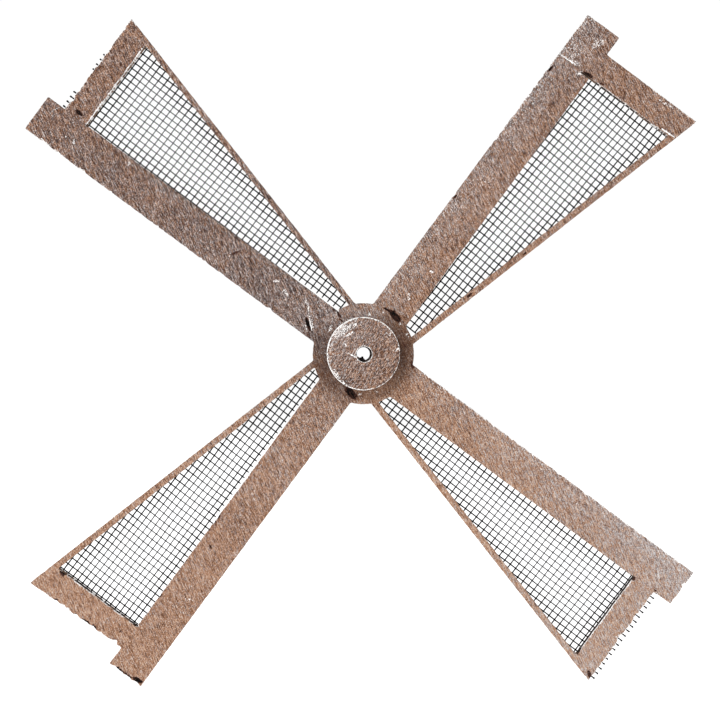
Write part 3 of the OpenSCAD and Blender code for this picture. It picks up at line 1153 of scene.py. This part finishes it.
# The washed wood from its darkest to its palest tone, where the stain is brown and where it is grey.
TONE_STOPS = (0.0, 0.3, 0.5, 0.7, 1.0)
WARM = ((52, 30, 22), (95, 62, 45), (143, 103, 79), (181, 136, 107), (218, 188, 165))
GREY = ((52, 42, 40), (87, 74, 71), (129, 117, 115), (168, 159, 158), (222, 218, 218))
WARM_TONES, GREY_TONES = ([*zip(TONE_STOPS, (shown(*tone) for tone in tones))] for tones in (WARM, GREY))
# Deep brown of the painted shade and dark stain round the disc.
SHADE_AND_STAIN_DEEP = shown(62, 38, 28)
STAIN_PLAIN = shown(120, 88, 68)
# Colours of knots and gouges, also used for painted shade on walls and in the disc's hole.
KNOT_AND_SHADE_RED = shown(78, 48, 38)
KNOT_AND_SHADE_BLACK = srgb(6, 4, 3)
PRIMER = srgb(243, 241, 239)
PLY_PALE = shown(176, 142, 112)
PLY_DARK = shown(92, 64, 50)


def wood_tone(s, grain, fibre_length, speck_size):
    """Stain and wash: streaked, speckled and flecked, greyer where the mesh says so and lighter where its
    painted light says so.
    """
    along_grain = s.turned_to(grain)
    fibre = s.grain(along_grain, fibre_length, 0.65 * MM, 1, 0.5)
    tint = s.grain(along_grain, 3 * MM, 0.8 * MM, 2, 0.5, 23)
    streak = s.grain(along_grain, 24 * MM, 1.2 * MM, 2, 0.6, 3)
    grit = s.grain(s.place, 0.8 * MM, 0.8 * MM, 1, 0.5, 17)
    speck = s.grain(along_grain, speck_size, 0.5 * speck_size, 2, 0.6, 31)
    light, wash, flecks = s.value("light"), s.value("wash"), s.value("flecks")

    swing = s.plus(s.scaled(fibre, 1.4), s.scaled(grit, 1.4))
    swing = s.plus(swing, s.scaled(streak, 0.6))
    swing = s.times(swing, s.minus(1.2, s.times(light, 0.45)))
    # The tone follows the mesh's lightness, which carries painted light from below.
    tone = s.plus(s.scaled(light, 0.4, 0.56), swing)
    greyness = s.plus(wash, s.scaled(tint, 3.2))
    colour = s.mix(greyness, s.ramp(tone, WARM_TONES), s.ramp(tone, GREY_TONES))
    level = s.minus(0.74, s.times(flecks, 0.2))
    fleck = s.step(speck, level, s.plus(level, 0.07))
    colour = s.mix(s.times(fleck, 0.75), colour, PRIMER)
    return colour, fibre, streak, grit


def ply_edges(s, ply_thickness, fibre, streak, grit):
    """Sawn edges: pale and dark plies, with painted shade (dark) in some places and painted light (primer
    white) in others, where the mesh says so.
    """
    depth = s.node("ShaderNodeSeparateXYZ", {0: s.place}).outputs["Y"]
    layer = s.math("PINGPONG", s.math("DIVIDE", depth, ply_thickness), 1.0)
    layer = s.plus(layer, s.scaled(fibre, 0.5))
    plies = s.mix(s.step(layer, 0.4, 0.6), PLY_PALE, PLY_DARK)
    plies = s.mix(s.step(grit, 0.45, 0.6), plies, STAIN_PLAIN)
    # Painted shade on walls that face up, and painted light in primer white on walls that face down.
    wall_shade_colour = s.mix(s.step(streak, 0.46, 0.66), KNOT_AND_SHADE_BLACK, KNOT_AND_SHADE_RED)
    plies = s.mix(s.step(s.value("painted_shaded_wall"), 0.35, 0.6), plies, wall_shade_colour)
    return s.mix(s.step(s.value("painted_lit_wall"), 0.4, 0.6), plies, PRIMER)


def worn_arris(s, fibre, grit, in_dark_mark):
    """1 where the front's edges are worn to the primer, but not on walls, the back or knots."""
    worn_to = s.times(s.value("wear"), s.scaled(fibre, 4.5, 1.5))
    worn_to = s.plus(worn_to, s.scaled(grit, 2.2, -0.3))
    bare = s.minus(1.0, s.step(s.minus(s.value("edge_mm"), worn_to), -0.2, 0.2))
    for elsewhere in (s.value("wall"), s.value("rear"), in_dark_mark):
        bare = s.times(bare, s.minus(1.0, elsewhere, True))
    return bare


def wood(name, grain, ply_thickness, fibre_length, speck_size):
    """Plywood with brown stain and white wash, worn to primer at the edges, dark in its gouges, with
    painted shade round the disc and painted light and shade on some walls.
    """
    s = Shader(name, roughness=0.75, specular=0.1)
    colour, fibre, streak, grit = wood_tone(s, grain, fibre_length, speck_size)
    # Painted shade and dark stain round the disc, and painted shade in its hole.
    shade = s.times(s.value("shade"), s.scaled(streak, 1.2, 1.0), True)
    colour = s.mix(shade, colour, SHADE_AND_STAIN_DEEP)
    colour = s.mix(s.times(s.value("rear"), 0.5), colour, STAIN_PLAIN)

    white = s.plus(s.value("white"), s.scaled(grit, 2.4))
    colour = s.mix(s.step(white, 0.5, 0.8), colour, PRIMER)
    # Dark knots and gouges, and the splinter's darkness, which is partly painted shade in the disc's hole.
    darkness = s.plus(s.value("dark"), s.scaled(grit, 0.9))
    dark_mark_colour = s.mix(s.step(s.plus(darkness, s.scaled(fibre, 2.4)), 0.62, 0.95), KNOT_AND_SHADE_RED, KNOT_AND_SHADE_BLACK)
    in_dark_mark = s.step(darkness, 0.3, 0.5)
    colour = s.mix(in_dark_mark, colour, dark_mark_colour)

    plies = ply_edges(s, ply_thickness, fibre, streak, grit)
    colour = s.mix(s.step(s.value("wall"), 0.25, 0.6), colour, plies)
    s.colour(s.mix(worn_arris(s, fibre, grit, in_dark_mark), colour, PRIMER))
    s.bump(s.plus(s.scaled(fibre, 0.6), s.scaled(grit, 0.6)), 0.4 * MM, 0.6)
    s.roughness(s.scaled(fibre, 0.5, 0.74))
    return s.material


def wire_metal():
    """Galvanised wire gone dull and dark, painted paler grey towards the middle of each window as glare
    off the white backdrop.
    """
    s = Shader("mesh_wire", roughness=0.6, metallic=0.2, specular=0.12)
    spots = s.grain(s.place, 1.6 * MM, 1.6 * MM, 4, 0.65)
    # The wire's own near-black, and a paler grey painted as glare where the mesh says so.
    glare_grey = s.ramp(spots, [(0.3, srgb(24, 24, 26)), (0.5, srgb(72, 73, 76)), (0.75, srgb(120, 120, 120))])
    wire_black = s.ramp(spots, [(0.3, srgb(5, 5, 5)), (0.7, srgb(17, 15, 14))])
    s.colour(s.mix(s.times(s.value("light"), s.step(spots, 0.25, 0.6)), wire_black, glare_grey))
    s.roughness(s.plus(s.times(spots, 0.4), 0.4))
    s.bump(spots, 0.12 * MM, 0.6)
    return s.material


def fastener_steel():
    """Bright staple and brad wire with a little rust."""
    s = Shader("staple_steel", roughness=0.4, metallic=0.85, specular=0.5)
    rub = s.grain(s.place, 3 * MM, 0.35 * MM, 3, 0.6)
    rust = s.step(s.grain(s.place, 2.2 * MM, 2.2 * MM, 4, 0.7, 5), 0.56, 0.68)
    steel = s.ramp(rub, [(0.3, srgb(126, 124, 121)), (0.7, srgb(178, 177, 174))])
    s.colour(s.mix(s.times(rust, 0.7), steel, srgb(112, 70, 46)))
    s.roughness(s.plus(s.times(rust, 0.4), 0.32))
    s.bump(rub, 0.05 * MM, 0.5)
    return s.material


def sleeve_metal():
    """Turned steel, browned, with fine bright tool rings."""
    s = Shader("sleeve_steel", roughness=0.45, metallic=0.7, specular=0.5)
    inputs = {"Vector": s.place, "Scale": 900.0, "Distortion": 0.6}
    rings = s.node("ShaderNodeTexWave", inputs, wave_type="RINGS", rings_direction="Y", wave_profile="SAW")
    stain_noise = s.grain(s.place, 4 * MM, 4 * MM, 4, 0.65)
    browned = [(0.35, srgb(34, 30, 28)), (0.6, srgb(66, 60, 56)), (0.75, srgb(96, 78, 64))]
    base = s.ramp(stain_noise, browned)
    s.colour(s.mix(s.times(rings.outputs["Fac"], 0.25), base, srgb(110, 104, 98)))
    s.roughness(s.plus(s.times(stain_noise, 0.4), 0.25))
    s.bump(rings.outputs["Fac"], 0.03 * MM, 0.6)
    return s.material


def floor_white():
    """A pale plain floor, bright enough to vanish into the backdrop."""
    s = Shader("floor_white", roughness=0.9, specular=0.1)
    cloud = s.grain(s.place, 0.3, 0.3, 2, 0.5)
    s.colour(s.ramp(cloud, [(0.3, srgb(238, 238, 238)), (0.7, srgb(244, 244, 244))]))
    s.surface["Emission Color"].default_value = (1, 1, 1, 1)
    s.surface["Emission Strength"].default_value = 0.75
    return s.material


# ---------------- the stage

FLOOR_HALF = 6.0
FLOOR_CELLS = 12
AMBIENT = 0.62
BACKDROP = 1.02
KEY_PLACE = Vector((-1.1, -1.9, 1.5))
KEY_POWER = 34.0
KEY_SIZE = 0.5
CAMERA_DISTANCE = 1.69
CAMERA_SHIFT = (-3.3 * MM, -6.3 * MM)
CAMERA_LENS = 84.9


def stage():
    """The floor under the sails."""
    steps = np.linspace(-FLOOR_HALF, FLOOR_HALF, FLOOR_CELLS + 1)
    verts = [(x, y, cad_box[0].z) for y in steps for x in steps]
    row = len(steps)
    corners = [r * row + c for r in range(FLOOR_CELLS) for c in range(FLOOR_CELLS)]
    mesh = bpy.data.meshes.new("floor")
    mesh.from_pydata(verts, [], [(n, n + 1, n + row + 1, n + row) for n in corners])
    mesh.materials.append(floor_white())
    floor = bpy.data.objects.new("floor", mesh)
    bpy.context.collection.objects.link(floor)


def lights():
    """Soft light from all round, a white backdrop that only the camera sees, and one key lamp."""
    world = bpy.data.worlds.new("studio")
    bpy.context.scene.world = world
    world.use_nodes = True
    tree = world.node_tree
    background = tree.nodes["Background"]
    path = tree.nodes.new("ShaderNodeLightPath")
    level = tree.nodes.new("ShaderNodeMapRange")
    tree.links.new(path.outputs["Is Camera Ray"], level.inputs["Value"])
    level.inputs["To Min"].default_value = AMBIENT
    level.inputs["To Max"].default_value = BACKDROP
    tree.links.new(level.outputs["Result"], background.inputs["Strength"])
    background.inputs["Color"].default_value = (1, 1, 1, 1)

    lamp = bpy.data.lights.new("key_light", "AREA")
    lamp.shape = "DISK"
    lamp.size = KEY_SIZE
    lamp.energy = KEY_POWER
    key = bpy.data.objects.new("key_light", lamp)
    key.location = KEY_PLACE
    key.rotation_euler = (-KEY_PLACE).to_track_quat("-Z", "Y").to_euler()
    bpy.context.collection.objects.link(key)


def camera():
    """The camera, square to the front of the sails."""
    data = bpy.data.cameras.new("camera")
    data.sensor_width = 36.0
    data.lens = CAMERA_LENS
    data.clip_start = 0.05
    data.clip_end = 50.0
    eye = bpy.data.objects.new("camera", data)
    eye.location = (CAMERA_SHIFT[0], BOARD_FRONT - CAMERA_DISTANCE, CAMERA_SHIFT[1])
    eye.rotation_euler = (math.pi / 2, 0, 0)
    bpy.context.collection.objects.link(eye)
    bpy.context.scene.camera = eye
    bpy.context.scene.view_settings.view_transform = "Standard"
    bpy.context.scene.view_settings.look = "None"


# ---------------- the object

def build():
    """Every piece of the rotor and its sleeve."""
    board_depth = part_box("sail_cross")[1].y - BOARD_FRONT
    ply = board_depth / PLY_COUNT
    board_wood = wood("stained_plywood", BOARD_GRAIN, ply, 7 * MM, 2 * MM)
    disc_wood = wood("disc_wood", DISC_GRAIN, ply, 2.5 * MM, 1.5 * MM)
    wire = wire_metal()
    steel = fastener_steel()
    wooden_slab(
        "sail_cross_sawn", "sail_cross", board_wood, CROSS_CUT, 1.0,
        BOARD_GOUGES, BOARD_SCRATCHES, BOARD_BITES, board_looks,
    )
    wooden_slab(
        "hub_disc_sawn", "hub_disc", disc_wood, DISC_CUT, 30.0,
        DISC_GOUGES_MM, DISC_SCRATCHES_MM, (), disc_looks,
    )
    hole_splinter(disc_wood)
    brads(steel)
    axle_sleeve(sleeve_metal())
    for sail in SAILS:
        wire_layer(f"{sail}_line_wires", f"{sail}_cross_wires", wire)
        wire_layer(f"{sail}_cross_wires", f"{sail}_line_wires", wire)
        staples(sail, steel)


build()
stage()
lights()
camera()
